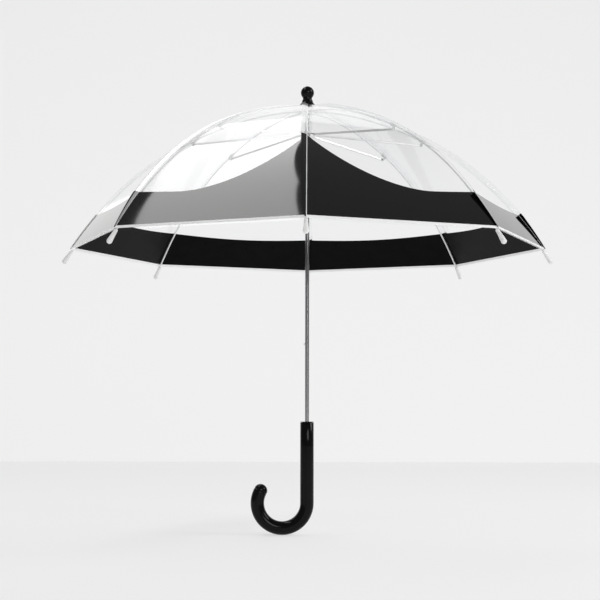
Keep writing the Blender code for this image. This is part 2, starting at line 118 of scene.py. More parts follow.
def add_camera():
    data = bpy.data.cameras.new("camera")
    data.lens = LENS
    data.sensor_width = 36.0
    camera = bpy.data.objects.new("camera", data)
    bpy.context.scene.collection.objects.link(camera)
    camera.location = CAMERA_PLACE
    angles = (90 + CAMERA_RAISED, CAMERA_ROLL, CAMERA_TURN)
    camera.rotation_euler = [math.radians(angle) for angle in angles]
    bpy.context.scene.camera = camera


def stage_material(name, value, glow):
    """A pale surface, partly lit from behind like a light table, so that it stays even."""
    material, nodes, links = new_material(name)
    shader = nodes["Principled BSDF"]
    unevenness = 0.006
    noise = nodes.new("ShaderNodeTexNoise")
    noise.inputs["Scale"].default_value = 3.0
    ramp = nodes.new("ShaderNodeMapRange")
    ramp.inputs["To Min"].default_value = value - unevenness
    ramp.inputs["To Max"].default_value = value + unevenness
    links.new(noise.outputs["Fac"], ramp.inputs["Value"])
    links.new(ramp.outputs["Result"], shader.inputs["Base Color"])
    shader.inputs["Roughness"].default_value = 0.8
    shader.inputs["Specular IOR Level"].default_value = 0.1
    shader.inputs["Emission Color"].default_value = (1.0, 1.0, 1.0, 1.0)
    shader.inputs["Emission Strength"].default_value = glow
    return material


def clear_from_behind(material):
    """Clear from its back, so that the wall doesn't hide the umbrella in a view from behind."""
    nodes, links = material.node_tree.nodes, material.node_tree.links
    geometry = nodes.new("ShaderNodeNewGeometry")
    clear = nodes.new("ShaderNodeBsdfTransparent")
    mix = nodes.new("ShaderNodeMixShader")
    links.new(geometry.outputs["Backfacing"], mix.inputs["Fac"])
    links.new(nodes["Principled BSDF"].outputs["BSDF"], mix.inputs[1])
    links.new(clear.outputs["BSDF"], mix.inputs[2])
    links.new(mix.outputs["Shader"], nodes["Material Output"].inputs["Surface"])
    return material


def upright_corners(left, right, y, low, high):
    return [(left, y, low), (right, y, low), (right, y, high), (left, y, high)]


def add_stage():
    """A pale floor that meets a pale wall well behind the umbrella."""
    side, front, top = 4.0, -4.0, 3.4
    ground = [(-side, front, 0), (side, front, 0), (side, WALL_Y, 0), (-side, WALL_Y, 0)]
    floor = mesh_piece("stage_floor", ground, [(0, 1, 2, 3)])
    wall = mesh_piece("stage_wall", upright_corners(-side, side, WALL_Y, 0, top), [(0, 1, 2, 3)])
    floor.data.materials.append(stage_material("pale_floor", 0.40, FLOOR_GLOW))
    wall.data.materials.append(clear_from_behind(stage_material("pale_wall", 0.30, WALL_GLOW)))


def add_card(name, points, faces, glow):
    """An evenly glowing shape that the camera doesn't see, for its image in the film."""
    card = mesh_piece(name, points, faces)
    material, nodes, _ = new_material(name)
    shader = nodes["Principled BSDF"]
    shader.inputs["Base Color"].default_value = (0.0, 0.0, 0.0, 1.0)
    shader.inputs["Specular IOR Level"].default_value = 0.0
    shader.inputs["Emission Color"].default_value = (1.0, 0.995, 0.99, 1.0)
    shader.inputs["Emission Strength"].default_value = glow
    card.data.materials.append(material)
    card.visible_camera = False
    return card


def add_wall_card(name, left, right, low, high, glow):
    just_in_front = WALL_Y - 0.002
    return add_card(name, upright_corners(left, right, just_in_front, low, high), [(0, 1, 2, 3)], glow)


def add_soft_box():
    """A long soft box up on the left. Its image in the front left band leaves a dark strip by each rib."""
    left = [(-1.45, -0.56), (-1.03, -0.02), (-0.67, 0.67), (-0.46, 1.50)]
    right = [(-0.95, -0.75), (-0.645, -0.175), (-0.365, 0.56), (-0.20, 1.42)]
    points = [(x, y, BOX_HEIGHT) for x, y in left + right]
    add_card("stage_soft_box", points, [(0, 1, 5, 4), (1, 2, 6, 5)], BOX_GLOW)
    add_card("stage_soft_box_end", points, [(2, 3, 7, 6)], BOX_GLOW / 2)


def add_area(name, place, target, size, glow):
    """An area light of a given brightness, unseen by the camera."""
    data = bpy.data.lights.new(name, "AREA")
    data.shape = "RECTANGLE"
    data.size, data.size_y = size
    data.energy = glow * math.pi * size[0] * size[1]
    light = bpy.data.objects.new(name, data)
    bpy.context.scene.collection.objects.link(light)
    light.location = place
    aim = Vector(target) - Vector(place)
    light.rotation_euler = aim.to_track_quat("-Z", "Y").to_euler()
    light.visible_camera = False


def add_lights():
    """A dim room, the soft box, two cards on the wall for their images in the film, and two fills."""
    world = bpy.data.worlds.new("studio")
    world.use_nodes = True
    world.node_tree.nodes["Background"].inputs["Color"].default_value = (1.0, 1.0, 1.0, 1.0)
    world.node_tree.nodes["Background"].inputs["Strength"].default_value = ROOM_GLOW
    bpy.context.scene.world = world
    add_soft_box()
    card = add_wall_card("stage_card_left", left=-1.62, right=-1.02, low=0.93, high=1.43, glow=1.22)
    card.visible_diffuse = False  # it would light the wall at the picture's edge
    card.visible_shadow = False
    add_wall_card("stage_card_high", left=-1.3, right=1.3, low=1.62, high=3.3, glow=1.12)
    add_area("fill_front", place=(0.9, -3.0, 1.3), target=(0.0, 0.0, 0.4), size=(1.6, 1.0), glow=5.0)
    add_area("fill_right", place=(2.4, -0.4, 1.8), target=(0.9, -0.7, 0.0), size=(0.8, 1.4), glow=9.0)


# ---------------------------------------------------------------- meshes

def mesh_piece(name, points, faces):
    mesh = bpy.data.meshes.new(name)
    mesh.from_pydata([tuple(p) for p in points], [], faces)
    mesh.update()
    mesh.shade_smooth()
    piece = bpy.data.objects.new(name, mesh)
    bpy.context.scene.collection.objects.link(piece)
    return piece


def close_outward(piece):
    bm = bmesh.new()
    bm.from_mesh(piece.data)
    bmesh.ops.recalc_face_normals(bm, faces=bm.faces)
    bm.to_mesh(piece.data)
    bm.free()
    return piece


def skin(name, rings, closed=False, sharp=40):
    """A closed skin over rings of the same number of points, capped at both ends or joined into a loop."""
    count = len(rings[0])
    points = [p for ring in rings for p in ring]
    faces = []
    for i in range(len(rings) if closed else len(rings) - 1):
        here, there = i * count, (i + 1) % len(rings) * count
        for j in range(count):
            k = (j + 1) % count
            faces.append((here + j, here + k, there + k, there + j))
    if not closed:
        faces.append(tuple(range(count)))
        faces.append(tuple(range((len(rings) - 1) * count, len(rings) * count)))
    piece = close_outward(mesh_piece(name, points, faces))
    piece.data.set_sharp_from_angle(angle=math.radians(sharp))
    return piece


def turned(name, profile, sides=64, loop=False, sharp=35):
    """Turns (radius, height) points about Z. A loop is a ring with a hole; others run from axis to axis."""
    directions = [math.tau * i / sides for i in range(sides)]
    smallest = 1e-5
    rings = []
    for radius, z in profile:
        r = max(radius, smallest)
        rings.append([(r * math.cos(a), r * math.sin(a), z) for a in directions])
    return skin(name, rings, closed=loop, sharp=sharp)


def rounded(points, radius, steps=4):
    """A closed outline with each corner rounded off by a short curve."""
    result = []
    count = len(points)
    for i, point in enumerate(points):
        here = Vector(point)
        before = Vector(points[i - 1]) - here
        after = Vector(points[(i + 1) % count]) - here
        reach = min(radius, before.length * 0.45, after.length * 0.45)
        start, end = here + before.normalized() * reach, here + after.normalized() * reach
        for n in range(steps + 1):
            f = n / steps
            result.append(tuple(start * (1 - f) ** 2 + here * (2 * f * (1 - f)) + end * f * f))
    return result


def ellipse_at(centre, across, up, wide, high, sides):
    angles = [math.tau * i / sides for i in range(sides)]
    return [centre + across * (wide * math.cos(a)) + up * (high * math.sin(a)) for a in angles]


def circle_at(centre, across, up, radius, sides):
    return ellipse_at(centre, across, up, radius, radius, sides)


def dress(piece, material, body):
    """Gives a rigid piece its material and its body."""
    piece.data.materials.append(material)
    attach(piece, body)


# ---------------------------------------------------------------- the film's shape

def control_point(start, start_slope, end, end_slope):
    """Where the tangents at the two ends of a curve cross."""
    run, drop = end[0] - start[0], start[1] - end[1]
    length = (run * math.sin(end_slope) - drop * math.cos(end_slope)) / math.sin(end_slope - start_slope)
    return (start[0] + length * math.cos(start_slope), start[1] - length * math.sin(start_slope))


def quadratic(start, control, end, count):
    f = np.linspace(0.0, 1.0, count)[:, None]
    return (1 - f) ** 2 * np.array(start) + 2 * f * (1 - f) * np.array(control) + f * f * np.array(end)


def lengths_along(line):
    """The length from a line's start to each of its points."""
    return np.concatenate([[0.0], np.cumsum(np.linalg.norm(np.diff(line, axis=0), axis=1))])


# the film over a rib as (radius, height) points, and the lengths from the crown to each; LENGTH is at the rim
INNER_CONTROL = control_point(FILM_CROWN, CROWN_SLOPE, FILM_BEND, BEND_SLOPE)
INNER = quadratic(FILM_CROWN, INNER_CONTROL, FILM_BEND, 120)
OUTER_CONTROL = control_point(FILM_BEND, BEND_SLOPE, FILM_CORNER, CORNER_SLOPE)
OUTER = quadratic(FILM_BEND, OUTER_CONTROL, FILM_CORNER, 160)
LIP_END = (FILM_CORNER[0] + LIP * math.cos(CORNER_SLOPE), FILM_CORNER[1] - LIP * math.sin(CORNER_SLOPE))
LINE = np.vstack([INNER, OUTER[1:], [LIP_END]])
ALONG = lengths_along(LINE)
LENGTH = float(ALONG[-2])


def at_length(s):
    """Radius and height of the film over a rib, at the length s from the crown."""
    return float(np.interp(s, ALONG, LINE[:, 0])), float(np.interp(s, ALONG, LINE[:, 1]))


def slope_at(s):
    """How steeply the film over a rib falls, as an angle."""
    reach = 0.002
    r0, z0 = at_length(max(s - reach, 0.0))
    r1, z1 = at_length(min(s + reach, LENGTH))
    return math.atan2(z0 - z1, r1 - r0)


def length_at_radius(r):
    return float(np.interp(r, LINE[:, 0], ALONG))


def rib_axes(number):
    """Outward and sideways directions of a rib's plane."""
    a = -math.pi / 2 + STEP * (number - 1)
    return Vector((math.cos(a), math.sin(a), 0.0)), Vector((-math.sin(a), math.cos(a), 0.0))


def rod_point(s):
    """Radius and height of the rod's centreline, which lies under the film."""
    r, z = at_length(s)
    slope = slope_at(s)
    return r - ROD_UNDER_FILM * math.sin(slope), z - ROD_UNDER_FILM * math.cos(slope)


def seam_inset(f, r):
    """The share f of a gore's width, but at least half the gap between the gores away from the rib."""
    return max(f, SEAM_GAP / (2 * r * math.sin(STEP / 2)))


def film_point(out, across, r, z, f):
    """A point of the flat chord from a rib (f = 0) towards the next rib, on the side across points to."""
    chord = out * (math.cos(STEP) - 1.0) + across * math.sin(STEP)
    return (out + chord * f) * r + UP * z


def gore_facing(out, across):
    """The level direction that a gore faces."""
    return out * math.cos(STEP / 2) + across * math.sin(STEP / 2)


def film_normal(out, across, s):
    """The flat chords make a gore's middle line a little steeper than its ribs."""
    slope = math.atan(math.tan(slope_at(s)) / math.cos(STEP / 2))
    return gore_facing(out, across).normalized() * math.sin(slope) + UP * math.cos(slope)


def split_radius(f):
    """Where the upper and lower parts meet: right above the line of the rib's hinge."""
    return FILM_BEND[0] / (1.0 - (1.0 - math.cos(STEP)) * f)


def print_start(gore, side, f):
    """Length from the crown to the print, at the share f of the gore's width from the side's rib.

    It rises to a peak at rib 1, which gore 1 has on its side 0 and the last gore on its side 1.
    """
    height = BAND_HEIGHT - BAND_SAG * math.sin(math.pi * f)
    if gore in (1, RIBS):
        at_peak = side == (0 if gore == 1 else 1)
        from_peak = f if at_peak else 1.0 - f
        height += PEAK_HEIGHT * max(0.0, 1.0 - from_peak / PEAK_REACH) ** PEAK_POWER
    return LENGTH - height


# ---------------------------------------------------------------- materials

# most of a noise texture's values lie between these
NOISE_LOW = 0.3
NOISE_HIGH = 0.7
FINE_DEPTH = 0.00002


def new_material(name):
    material = bpy.data.materials.new(name)
    material.use_nodes = True
    return material, material.node_tree.nodes, material.node_tree.links


def add_noise(nodes, links, scale, detail=3.0, stretch=None):
    """Noise in the object's own coordinates, so that it stays put as the piece moves."""
    coords = nodes.new("ShaderNodeTexCoord")
    noise = nodes.new("ShaderNodeTexNoise")
    noise.inputs["Scale"].default_value = scale
    noise.inputs["Detail"].default_value = detail
    source = coords.outputs["Object"]
    if stretch:
        mapping = nodes.new("ShaderNodeMapping")
        mapping.inputs["Scale"].default_value = stretch
        links.new(source, mapping.inputs["Vector"])
        source = mapping.outputs["Vector"]
    links.new(source, noise.inputs["Vector"])
    return noise.outputs["Fac"]


def spread(nodes, links, value, low, high):
    """A number from low to high that follows the noise."""
    ramp = nodes.new("ShaderNodeMapRange")
    ramp.inputs["From Min"].default_value = NOISE_LOW
    ramp.inputs["From Max"].default_value = NOISE_HIGH
    ramp.inputs["To Min"].default_value = low
    ramp.inputs["To Max"].default_value = high
    links.new(value, ramp.inputs["Value"])
    return ramp.outputs["Result"]


def tint(nodes, links, value, dark, light):
    """A colour from dark to light that follows the noise."""
    ramp = nodes.new("ShaderNodeValToRGB")
    ramp.color_ramp.elements[0].position = NOISE_LOW
    ramp.color_ramp.elements[0].color = (*dark, 1.0)
    ramp.color_ramp.elements[1].position = NOISE_HIGH
    ramp.color_ramp.elements[1].color = (*light, 1.0)
    links.new(value, ramp.inputs["Fac"])
    return ramp.outputs["Color"]


def add_bump(nodes, links, value, strength, distance):
    bump = nodes.new("ShaderNodeBump")
    bump.inputs["Strength"].default_value = strength
    bump.inputs["Distance"].default_value = distance
    links.new(value, bump.inputs["Height"])
    return bump.outputs["Normal"]


def moulded(name, dark, light, roughness, grain=900.0, depth=FINE_DEPTH, subsurface=0.0, specular=0.5):
    """Moulded plastic: a faint cloudiness, uneven gloss and a very fine surface."""
    material, nodes, links = new_material(name)
    shader = nodes["Principled BSDF"]
    cloud = add_noise(nodes, links, 60.0)
    fine = add_noise(nodes, links, grain)
    links.new(tint(nodes, links, cloud, dark, light), shader.inputs["Base Color"])
    links.new(spread(nodes, links, cloud, roughness * 0.85, roughness * 1.2), shader.inputs["Roughness"])
    links.new(add_bump(nodes, links, fine, 0.25, depth), shader.inputs["Normal"])
    shader.inputs["Specular IOR Level"].default_value = specular
    shader.inputs["Subsurface Weight"].default_value = subsurface
    shader.inputs["Subsurface Radius"].default_value = (0.002, 0.002, 0.002)
    return material


def drawn_metal(name, dark, light, roughness, stretch):
    """Metal with fine draw lines along its length."""
    material, nodes, links = new_material(name)
    shader = nodes["Principled BSDF"]
    shader.inputs["Metallic"].default_value = 1.0
    lines = add_noise(nodes, links, 40.0, 5.0, stretch)
    links.new(tint(nodes, links, lines, dark, light), shader.inputs["Base Color"])
    links.new(spread(nodes, links, lines, roughness * 0.8, roughness * 1.25), shader.inputs["Roughness"])
    links.new(add_bump(nodes, links, lines, 0.15, FINE_DEPTH), shader.inputs["Normal"])
    return material


def fibreglass():
    """A pale resin rod with long fibre streaks."""
    material, nodes, links = new_material("fibreglass_rod")
    shader = nodes["Principled BSDF"]
    streaks = add_noise(nodes, links, 300.0, 6.0, (1.0, 1.0, 0.15))
    pale = tint(nodes, links, streaks, (0.80, 0.81, 0.81), (0.93, 0.935, 0.94))
    links.new(pale, shader.inputs["Base Color"])
    links.new(spread(nodes, links, streaks, 0.25, 0.42), shader.inputs["Roughness"])
    links.new(add_bump(nodes, links, streaks, 0.2, FINE_DEPTH), shader.inputs["Normal"])
    shader.inputs["Coat Weight"].default_value = 0.3
    return material


def see_through(name, face_on, edge_on, haze, roughness, colour, metallic=1.0):
    """Clear vinyl. Its mirror part grows towards grazing angles, and the rest lets light through."""
    material, nodes, links = new_material(name)
    shader = nodes["Principled BSDF"]
    shader.inputs["Base Color"].default_value = (*colour, 1.0)
    shader.inputs["Metallic"].default_value = metallic
    ripple = add_noise(nodes, links, 6.0, 2.0)
    cloud = add_noise(nodes, links, 4.0, 3.0)
    links.new(spread(nodes, links, ripple, roughness * 0.7, roughness * 1.4), shader.inputs["Roughness"])
    links.new(add_bump(nodes, links, ripple, 0.3, 0.002), shader.inputs["Normal"])
    clear = nodes.new("ShaderNodeBsdfTransparent")
    clear.inputs["Color"].default_value = (0.99, 0.992, 0.994, 1.0)
    facing = nodes.new("ShaderNodeLayerWeight")
    facing.inputs["Blend"].default_value = 0.5
    power = nodes.new("ShaderNodeMath")
    power.operation = "POWER"
    power.inputs[1].default_value = 5.0
    links.new(facing.outputs["Facing"], power.inputs[0])
    reflect = nodes.new("ShaderNodeMapRange")
    reflect.inputs["To Min"].default_value = face_on
    reflect.inputs["To Max"].default_value = edge_on
    links.new(power.outputs["Value"], reflect.inputs["Value"])
    total = nodes.new("ShaderNodeMath")
    total.operation = "ADD"
    total.use_clamp = True
    links.new(reflect.outputs["Result"], total.inputs[0])
    links.new(spread(nodes, links, cloud, 0.0, haze), total.inputs[1])
    mix = nodes.new("ShaderNodeMixShader")
    links.new(total.outputs["Value"], mix.inputs["Fac"])
    links.new(clear.outputs["BSDF"], mix.inputs[1])
    links.new(shader.outputs["BSDF"], mix.inputs[2])
    links.new(mix.outputs["Shader"], nodes["Material Output"].inputs["Surface"])
    return material


def printed_black():
    """The black print under glossy vinyl: deep black, nearly mirror smooth, with slow ripples."""
    material, nodes, links = new_material("black_print")
    shader = nodes["Principled BSDF"]
    ripple = add_noise(nodes, links, 7.0, 2.0)
    fine = add_noise(nodes, links, 420.0, 4.0)
    ink = tint(nodes, links, fine, (0.0035, 0.0035, 0.0038), (0.006, 0.006, 0.0065))
    links.new(ink, shader.inputs["Base Color"])
    links.new(spread(nodes, links, ripple, 0.025, 0.05), shader.inputs["Roughness"])
    links.new(add_bump(nodes, links, ripple, 0.2, 0.001), shader.inputs["Normal"])
    shader.inputs["IOR"].default_value = 1.55
    return material


def grey(level, blue=0.0):
    """A grey with a little blue added to it."""
    return (level, level, level + blue)


BLACK = moulded("black_moulded", grey(0.0022, 0.0002), grey(0.0042, 0.0003), roughness=0.14, specular=0.14)
WHITE = moulded("white_moulded", (0.86, 0.86, 0.855), (0.92, 0.92, 0.915), roughness=0.30, subsurface=0.1)
FROSTED = moulded("frosted_clip", (0.66, 0.67, 0.67), (0.78, 0.79, 0.79), roughness=0.3, subsurface=0.2)
# light grey for the weld bead on the print: a painted highlight along each seam
WELD = moulded("weld_line_painted_highlight", grey(0.70), grey(0.86), roughness=0.25)
BINDING = moulded("white_binding", grey(0.92), grey(0.97), roughness=0.38, grain=2500.0, depth=0.00006)
INK = moulded("ink_back", grey(0.0025, 0.0003), grey(0.0040, 0.0004), roughness=0.32, specular=0.05)
TUBE_STEEL = drawn_metal("plated_tube", (0.40, 0.40, 0.41), (0.56, 0.56, 0.57), 0.22, (1.0, 1.0, 0.02))
FLAT_STEEL = drawn_metal("stretcher_steel", (0.88, 0.88, 0.885), (0.95, 0.95, 0.955), 0.5, (0.2, 0.2, 1.0))
WIRE_STEEL = drawn_metal("tying_wire", (0.35, 0.35, 0.36), (0.5, 0.5, 0.51), 0.35, (1.0, 1.0, 1.0))
ROD = fibreglass()
FILM = see_through("clear_film", face_on=0.014, edge_on=0.95, haze=0.015, roughness=0.05,
                   colour=(0.97, 0.98, 0.985))
FIN = see_through("clear_seam", face_on=0.07, edge_on=0.95, haze=0.05, roughness=0.10,
                  colour=(0.95, 0.955, 0.96), metallic=0.6)
ROSETTE = see_through("crown_washer", face_on=0.50, edge_on=0.95, haze=0.15, roughness=0.18,
                      colour=(0.62, 0.64, 0.65), metallic=0.2)
PRINT = printed_black()


# ---------------------------------------------------------------- canopy

def body_side(gore, side):
    """The number of the rib that a gore's half hangs on, the way out along it and the way into the gore."""
    number = gore if side == 0 else gore % RIBS + 1
    out, across = rib_axes(number)
    return number, out, across if side == 0 else -across


def half_name(kind, gore, side):
    return f"{kind}_{gore}{'ab'[side]}"


def grid_faces(columns, rows, turned_over):
    """Faces between neighbouring columns of points."""
    faces = []
    for column in range(columns - 1):
        for row in range(rows - 1):
            a = column * rows + row
            face = (a, a + 1, a + rows + 1, a + rows)
            faces.append(tuple(reversed(face)) if turned_over else face)
    return faces


COLUMNS = [0.5 * i / 14 for i in range(15)]
UPPER_ROWS = 19
CLEAR_ROWS = 13
PRINT_ROWS = 11


def film_part(gore, side, part):
    """A quarter of a gore. Its print, if any, is a strip of the same mesh with a material of its own."""
    number, out, across = body_side(gore, side)
    points, normals, printed = [], [], ()
    for f in COLUMNS:
        split = length_at_radius(split_radius(f))
        if part == "upper":
            rows = list(np.linspace(0.0, split, UPPER_ROWS))
        else:
            edge = print_start(gore, side, f)
            rows = list(np.linspace(split, edge, CLEAR_ROWS))
            rows += list(np.linspace(edge, LENGTH, PRINT_ROWS))[1:]
            rows.append(LENGTH + LIP)
            printed = range(CLEAR_ROWS - 1, CLEAR_ROWS + PRINT_ROWS - 2)
        for s in rows:
            r, z = at_length(s)
            points.append(film_point(out, across, r, z, seam_inset(f, r)))
            normals.append(film_normal(out, across, s))
    height = len(rows)
    faces = grid_faces(len(COLUMNS), height, turned_over=side == 1)
    piece = mesh_piece(half_name(f"film_{part}", gore, side), points, faces)
    piece.data.materials.append(FILM)
    piece.data.materials.append(PRINT)
    for index, polygon in enumerate(piece.data.polygons):
        polygon.material_index = int(index % (height - 1) in printed)
    piece.data.normals_split_custom_set_from_vertices([tuple(n) for n in normals])
    fold(piece, number, part)
    return piece


def fold(piece, number, part):
    """The piece rides on its rib's inner or outer body."""
    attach(piece, f"rib_{number}" if part == "upper" else f"rib_end_{number}")
    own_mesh(piece)


def print_back(gore, side):
    """The matte back of the print, just inside the film."""
    number, out, across = body_side(gore, side)
    rows, margin = 12, 0.0001
    points = []
    for f in COLUMNS:
        for s in np.linspace(print_start(gore, side, f) + margin, LENGTH - margin, rows):
            r, z = at_length(s)
            on_film = film_point(out, across, r, z, seam_inset(f, r))
            points.append(on_film - film_normal(out, across, s) * PRINT_DEPTH)
    faces = grid_faces(len(COLUMNS), rows, turned_over=side == 0)
    piece = mesh_piece(half_name("print_back", gore, side), points, faces)
    piece.data.materials.append(INK)
    fold(piece, number, "lower")
    return piece


def hem_part(gore, side):
    """The white binding folded over the rim, from a rib to the middle of the gore."""
    number, out, across = body_side(gore, side)
    normal = film_normal(out, across, LENGTH)
    facing = gore_facing(out, across)
    down = (facing - normal * facing.dot(normal)).normalized()
    corners = [(-HEM_ABOVE, -HEM_HALF), (HEM_BELOW, -HEM_HALF), (HEM_BELOW, HEM_HALF), (-HEM_ABOVE, HEM_HALF)]
    section = rounded(corners, 0.0003, 3)
    r, z = at_length(LENGTH)
    rings = []
    for i in range(13):
        middle = film_point(out, across, r, z, 0.5 * i / 12)
        rings.append([middle + down * a + normal * b for a, b in section])
    piece = skin(half_name("hem", gore, side), rings)
    piece.data.materials.append(BINDING)
    fold(piece, number, "lower")
    return piece


def follow_bend(piece):
    """Bakes the piece's placement into its mesh."""
    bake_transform(piece)


def seam_frame(number, s):
    """Point of the crease over a rib, the way square out of it, and the rib's sideways direction."""
    out, across = rib_axes(number)
    slope = slope_at(s)
    r, z = at_length(s)
    return out * r + UP * z, out * math.sin(slope) + UP * math.cos(slope), across


def seam_fin(number):
    """The welded edges of two gores, a narrow strip that stands up from the seam and leans to one side."""
    clear_rows, print_rows = 90, 24
    start = print_start(number, 0, 0.0)
    rows = list(np.linspace(0.012, start, clear_rows))
    rows += list(np.linspace(start, LENGTH - 0.0006, print_rows))[1:]
    rings = []
    for s in rows:
        point, up, across = seam_frame(number, s)
        wide = FIN_WIDTH * min(1.0, (s + 0.004) / 0.05)
        wide *= 1.0 - 0.75 * max(0.0, 1.0 - (LENGTH - s) / 0.06)
        away = -across * math.cos(FIN_LEAN) + up * math.sin(FIN_LEAN)
        square = across * math.sin(FIN_LEAN) + up * math.cos(FIN_LEAN)
        foot = point + up * 0.0003
        section = [(0.0, 0.0), (wide * 0.5, FIN_SWELL), (wide, 0.0)]
        section += [(wide, FIN_THICK), (wide * 0.5, FIN_THICK + FIN_SWELL), (0.0, FIN_THICK)]
        rings.append([foot + away * a + square * b for a, b in section])
    piece = skin(f"seam_fin_{number}", rings, sharp=50)
    piece.data.materials.append(FIN)
    piece.data.materials.append(PRINT)
    sides = len(section)
    for index, polygon in enumerate(piece.data.polygons):
        polygon.material_index = int(clear_rows - 1 <= index // sides < len(rows) - 1)
    end_cap = piece.data.polygons[len(rings) * sides - (sides - 1)]
    end_cap.material_index = 1
    follow_bend(piece)
    return piece


def seam_bead(number):
    """The raised weld line along a seam. On the black print it is light grey, a painted highlight along the
    seam.
    """
    sides = 8
    start = print_start(number, 0, 0.0)
    rows = list(np.linspace(0.005, start, 60)) + list(np.linspace(start, LENGTH - 0.003, 20))[1:]
    rings = []
    for s in rows:
        point, up, across = seam_frame(number, s)
        centre = point + up * 0.00045 + across * 0.0004
        rings.append(ellipse_at(centre, across, up, 0.00062, 0.00034, sides))
    piece = skin(f"seam_bead_{number}", rings, sharp=80)
    piece.data.materials.append(FIN)
    piece.data.materials.append(WELD)
    # the bead's rows on the print take the light grey painted highlight
    for index, polygon in enumerate(piece.data.polygons):
        polygon.material_index = int(rows[min(index // sides, len(rows) - 1)] >= start)
    follow_bend(piece)
    return piece


def build_canopy():
    for gore in range(1, RIBS + 1):
        seam = [seam_fin(gore), seam_bead(gore)]
        for side in (0, 1):
            top = film_part(gore, side, "upper")
            low = film_part(gore, side, "lower")
            hem_part(gore, side)
            print_back(gore, side)
            if side == 0:
                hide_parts(f"canopy_gore_{gore}")


# ---------------------------------------------------------------- ribs

def cut(piece, cutter):
    step = piece.modifiers.new("cut", "BOOLEAN")
    step.operation = "DIFFERENCE"
    step.object = cutter
    bpy.context.view_layer.update()
    graph = bpy.context.evaluated_depsgraph_get()
    result = bpy.data.meshes.new_from_object(piece.evaluated_get(graph))
    piece.modifiers.clear()
    piece.data = result
    bpy.data.objects.remove(cutter, do_unlink=True)
    piece.data.materials.clear()


def rod_line():
    """The rod's centreline in a rib's plane: level out of the notch, under the film and into the tip."""
    bend = (FILM_BEND[0] - ROD_UNDER_FILM * math.sin(BEND_SLOPE),
            FILM_BEND[1] - ROD_UNDER_FILM * math.cos(BEND_SLOPE))
    inner = quadratic(RIB_PIVOT, control_point(RIB_PIVOT, 0.0, bend, BEND_SLOPE), bend, 50)
    outer = [rod_point(s) for s in np.linspace(length_at_radius(FILM_BEND[0]), LENGTH, 60)[1:]]
    beyond = np.array(outer[-1]) + np.array((math.cos(CORNER_SLOPE), -math.sin(CORNER_SLOPE))) * ROD_IN_TIP
    return np.vstack([inner, outer, beyond[None]])


def rib_rod(number, line):
    """One fibreglass rod with a flattened eye at the notch."""
    out, across = rib_axes(number)
    lengths = lengths_along(line)

    def at(s):
        s = min(max(s, 0.0), lengths[-1])
        return [float(np.interp(s, lengths, line[:, n])) for n in (0, 1)]

    eye, flat_until, round_from = 0.0021, 0.0052, 0.0080
    flat_wide, flat_high, eye_end_high = 0.00055, 0.0013, 0.0003
    stations = [-eye, -0.0018, -0.0011, 0.0, 0.0011, 0.0018, 0.003, flat_until, round_from]
    stations += list(np.linspace(0.012, lengths[-1], 110))
    rings = []
    for s in stations:
        r, z = at(s)
        r += min(s, 0.0)
        ahead = at(max(s, 0.0) + 0.001)
        back = at(s - 0.001)
        slope = math.atan2(back[1] - ahead[1], ahead[0] - back[0])
        up = out * math.sin(slope) + UP * math.cos(slope)
        if s < flat_until:
            wide = flat_wide
            high = max(math.sqrt(max(eye * eye - s * s, 0.0)), flat_high if s > 0 else eye_end_high)
        else:
            grown = min((s - flat_until) / (round_from - flat_until), 1.0)
            wide = flat_wide + (ROD_RADIUS - flat_wide) * grown
            high = flat_high + (ROD_RADIUS - flat_high) * grown
        rings.append(ellipse_at(out * r + UP * z, across, up, wide, high, 16))
    piece = skin(f"rib_{number}_rod", rings)
    pivot = out * RIB_PIVOT[0] + UP * RIB_PIVOT[1]
    bore = [circle_at(pivot + across * side, out, UP, 0.0008, 12) for side in (-0.003, 0.003)]
    cut(piece, skin("eye_cutter", bore))
    piece.data.materials.append(ROD)
    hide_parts(f"rib_inner_{number}", f"rib_outer_{number}")
    follow_bend(piece)


def rib_tip(number):
    """White rounded tip: a slim neck at the film's corner that swells to a ball end, with a small collar."""
    out, across = rib_axes(number)
    r, z = rod_point(LENGTH)
    corner = out * r + UP * z
    along = out * math.cos(CORNER_SLOPE) - UP * math.sin(CORNER_SLOPE)
    up = out * math.sin(CORNER_SLOPE) + UP * math.cos(CORNER_SLOPE)
    ball, ball_at, end = 0.0039, 0.0200, 0.0239
    profile = [(0.00165, 0.0142), (0.00165, 0.0008), (0.0021, 0.0006), (0.0025, 0.0009), (0.0027, 0.0016)]
    profile += [(0.0026, 0.0024), (0.00255, 0.0028), (0.0027, 0.006), (0.0031, 0.011), (0.0036, 0.016)]
    for degrees in (-20, 0, 15, 30, 45, 60, 75, 84):
        a = math.radians(degrees)
        profile.append((ball * math.cos(a), ball_at + ball * math.sin(a)))
    profile.append((0.00002, end))
    rings = [circle_at(corner + along * s, across, up, radius, 28) for radius, s in profile]
    piece = skin(f"tip_{number}", rings, sharp=60)
    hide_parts(f"rib_tip_{number}")
    dress(piece, WHITE, f"rib_end_{number}")


def build_ribs():
    line = rod_line()
    for number in range(1, RIBS + 1):
        rib_rod(number, line)
        rib_tip(number)
        refine(f"rib_clip_{number}", FROSTED, 0.0003)
        refine(f"stretcher_{number}", FLAT_STEEL, 0.00015)


def refine(node, material, bevel):
    """A CAD node that stays in view gets its final material, softened edges and smooth faces."""
    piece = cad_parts[node]
    piece.data.materials.clear()
    piece.data.materials.append(material)
    weld = piece.modifiers.new("weld", "WELD")
    weld.merge_threshold = 0.00001
    soften = piece.modifiers.new("soft_edges", "BEVEL")
    soften.width = bevel
    soften.segments = 2
    soften.limit_method = "ANGLE"
    soften.angle_limit = math.radians(35)
    piece.data.shade_smooth()
    piece.data.set_sharp_from_angle(angle=math.radians(50))


# ---------------------------------------------------------------- shaft, handle and crown

